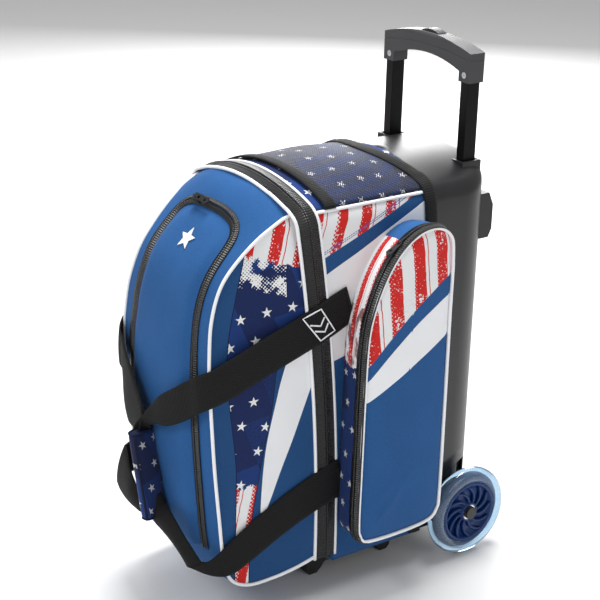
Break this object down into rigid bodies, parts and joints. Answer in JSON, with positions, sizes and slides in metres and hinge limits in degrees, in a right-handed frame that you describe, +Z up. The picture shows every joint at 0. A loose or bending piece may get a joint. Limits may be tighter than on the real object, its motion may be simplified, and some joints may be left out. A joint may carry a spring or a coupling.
{
  "type": "two-ball roller bag",
  "caption": "Upright wheeled bag for bowling balls, with a hinged front cover, side pocket, moulded back shell, telescoping handle and rear wheels.",
  "frame": {"origin": "centre of the front foot's sole, on the ground at mid-width", "axes": "+X towards the accessory pocket, -Y towards the front cover, +Z up"},
  "size_m": [0.3075, 0.5135, 0.71],
  "materials": {
    "blue_fabric": "matte",
    "print_fabric": "matte",
    "black_fabric": "matte",
    "white_vinyl": "satin",
    "webbing": "matte",
    "foam": "matte",
    "shell_black": "satin",
    "black_plastic": "satin",
    "board": "matte",
    "tube_black": "gloss",
    "steel": "brushed",
    "urethane": "gloss",
    "hub_blue": "gloss"
  },
  "bodies": {
    "root": {"ball_shell": "print_fabric", "back_shell": "shell_black", "chassis": "black_plastic", "foot_skid": "black_plastic", "skid_screws": "steel", "wheel_housing_left": "black_plastic", "wheel_housing_right": "black_plastic", "tube_outer_left": "tube_black", "tube_outer_right": "tube_black", "tube_feet": "black_plastic", "tube_collars": "black_plastic", "back_board": "board", "shelf": "board", "shelf_cleats": "board", "ball_cup_lower": "foam", "ball_cup_upper": "foam", "mesh_pocket": "black_fabric", "mesh_binding": "webbing", "rear_bumpers": "black_plastic", "acc_box": "print_fabric", "acc_zip_tape": "black_fabric", "zip_tape_body": "black_fabric", "piping_body": "white_vinyl", "axle_left": "steel", "axle_right": "steel", "axle_caps": "black_plastic"},
    "acc_panel": {"acc_door": "blue_fabric"},
    "acc_zipper": {"acc_slider": "steel"},
    "acc_tab": {"acc_pull": "black_plastic"},
    "wheel_l": {"tyre_left": "urethane", "hub_left": "hub_blue", "bearings_left": "steel"},
    "wheel_r": {"tyre_right": "urethane", "hub_right": "hub_blue", "bearings_right": "steel"},
    "lid": {"lid_shell": "blue_fabric", "shoe_divider": "board", "zip_tape_lid": "black_fabric", "piping_lid": "white_vinyl", "shoe_zip_tape": "black_fabric"},
    "flap": {"shoe_flap": "blue_fabric"},
    "shoe_zipper": {"shoe_slider": "steel"},
    "shoe_tab": {"shoe_pull": "black_plastic"},
    "main_zipper": {"main_slider": "steel"},
    "main_tab": {"main_pull": "black_plastic"},
    "handle": {"tube_inner_left": "tube_black", "tube_inner_right": "tube_black", "grip_lower": "black_plastic", "grip_upper": "black_plastic", "grip_screws": "steel", "latch_blocks": "black_plastic", "return_springs": "steel"},
    "release": {"button": "black_plastic", "release_yoke": "black_plastic"},
    "latch_l": {"latch_pin_left": "steel"},
    "latch_r": {"latch_pin_right": "steel"},
    "carry_r": {"strap_right": "webbing", "strap_wrap": "print_fabric", "strap_patch": "black_fabric"},
    "carry_l": {"strap_left": "webbing"}
  },
  "joints": [
    {"name": "handle_slide", "type": "slide", "parent": "root", "child": "handle", "axis": [0, 0, 1], "range_m": [-0.1, 0.308]},
    {"name": "release_press", "type": "slide", "parent": "handle", "child": "release", "axis": [0, 0, -1], "range_m": [0, 0.004], "stiffness_N_per_m": 900, "springref_m": -0.004, "deforming": ["return_springs"]},
    {"name": "latch_slide_l", "type": "slide", "parent": "handle", "child": "latch_l", "axis": [1, 0, 0], "range_m": [-0.004, 0.001]},
    {"name": "latch_slide_r", "type": "slide", "parent": "handle", "child": "latch_r", "axis": [1, 0, 0], "range_m": [-0.001, 0.004]},
    {"name": "wheel_spin_l", "type": "hinge", "parent": "root", "child": "wheel_l", "pos_m": [-0.127, 0.213, 0.0635], "axis": [1, 0, 0], "continuous": true},
    {"name": "wheel_spin_r", "type": "hinge", "parent": "root", "child": "wheel_r", "pos_m": [0.127, 0.213, 0.0635], "axis": [1, 0, 0], "continuous": true},
    {"name": "lid_hinge", "type": "hinge", "parent": "root", "child": "lid", "pos_m": [0, -0.02, 0.05], "axis": [1, 0, 0], "range_deg": [0, 90]},
    {"name": "strap_swing_r", "type": "hinge", "parent": "root", "child": "carry_r", "pos_m": [0.1186, -0.003, 0.28], "axis": [0, 0, 1], "range_deg": [-2, 92], "deforming": ["strap_right", "strap_wrap", "strap_patch"]},
    {"name": "strap_swing_l", "type": "hinge", "parent": "root", "child": "carry_l", "pos_m": [-0.1186, -0.003, 0.28], "axis": [0, 0, -1], "range_deg": [-2, 92], "deforming": ["strap_left"]},
    {"name": "shoe_flap_hinge", "type": "hinge", "parent": "lid", "child": "flap", "pos_m": [0, -0.2052, 0.105], "axis": [1, 0, 0], "range_deg": [0, 80]},
    {"name": "acc_panel_hinge", "type": "hinge", "parent": "root", "child": "acc_panel", "pos_m": [0.166, 0.13, 0.3], "axis": [0, 0, 1], "range_deg": [0, 70]},
    {"name": "acc_zip_slide", "type": "hinge", "parent": "root", "child": "acc_zipper", "pos_m": [0.156, 0.115, 0.385], "axis": [1, 0, 0], "range_deg": [0, 58]},
    {"name": "acc_pull_swing", "type": "hinge", "parent": "acc_zipper", "child": "acc_tab", "pos_m": [0.156, 0.05015, 0.49132], "axis": [-1, 0, 0], "range_deg": [0, 100]},
    {"name": "shoe_zip_slide", "type": "slide", "parent": "lid", "child": "shoe_zipper", "axis": [1, 0, 0], "range_m": [0, 0.068]},
    {"name": "shoe_pull_swing", "type": "hinge", "parent": "shoe_zipper", "child": "shoe_tab", "pos_m": [-0.023, -0.1288, 0.53031], "axis": [0, -0.7171, -0.697], "range_deg": [0, 100]},
    {"name": "main_zip_slide", "type": "slide", "parent": "root", "child": "main_zipper", "axis": [0, 0, 1], "range_m": [0, 0.14]},
    {"name": "main_pull_swing", "type": "hinge", "parent": "main_zipper", "child": "main_tab", "pos_m": [-0.1228, -0.02968, 0.212], "axis": [0, 1, 0], "range_deg": [0, 100]}
  ],
  "couplings": [
    {"joint": "latch_slide_r", "follows": "release_press", "ratio": 0.75},
    {"joint": "latch_slide_l", "follows": "release_press", "ratio": -0.75},
    {"joint": "strap_swing_r", "follows": "lid_hinge", "ratio": 1},
    {"joint": "strap_swing_l", "follows": "lid_hinge", "ratio": 1}
  ]
}
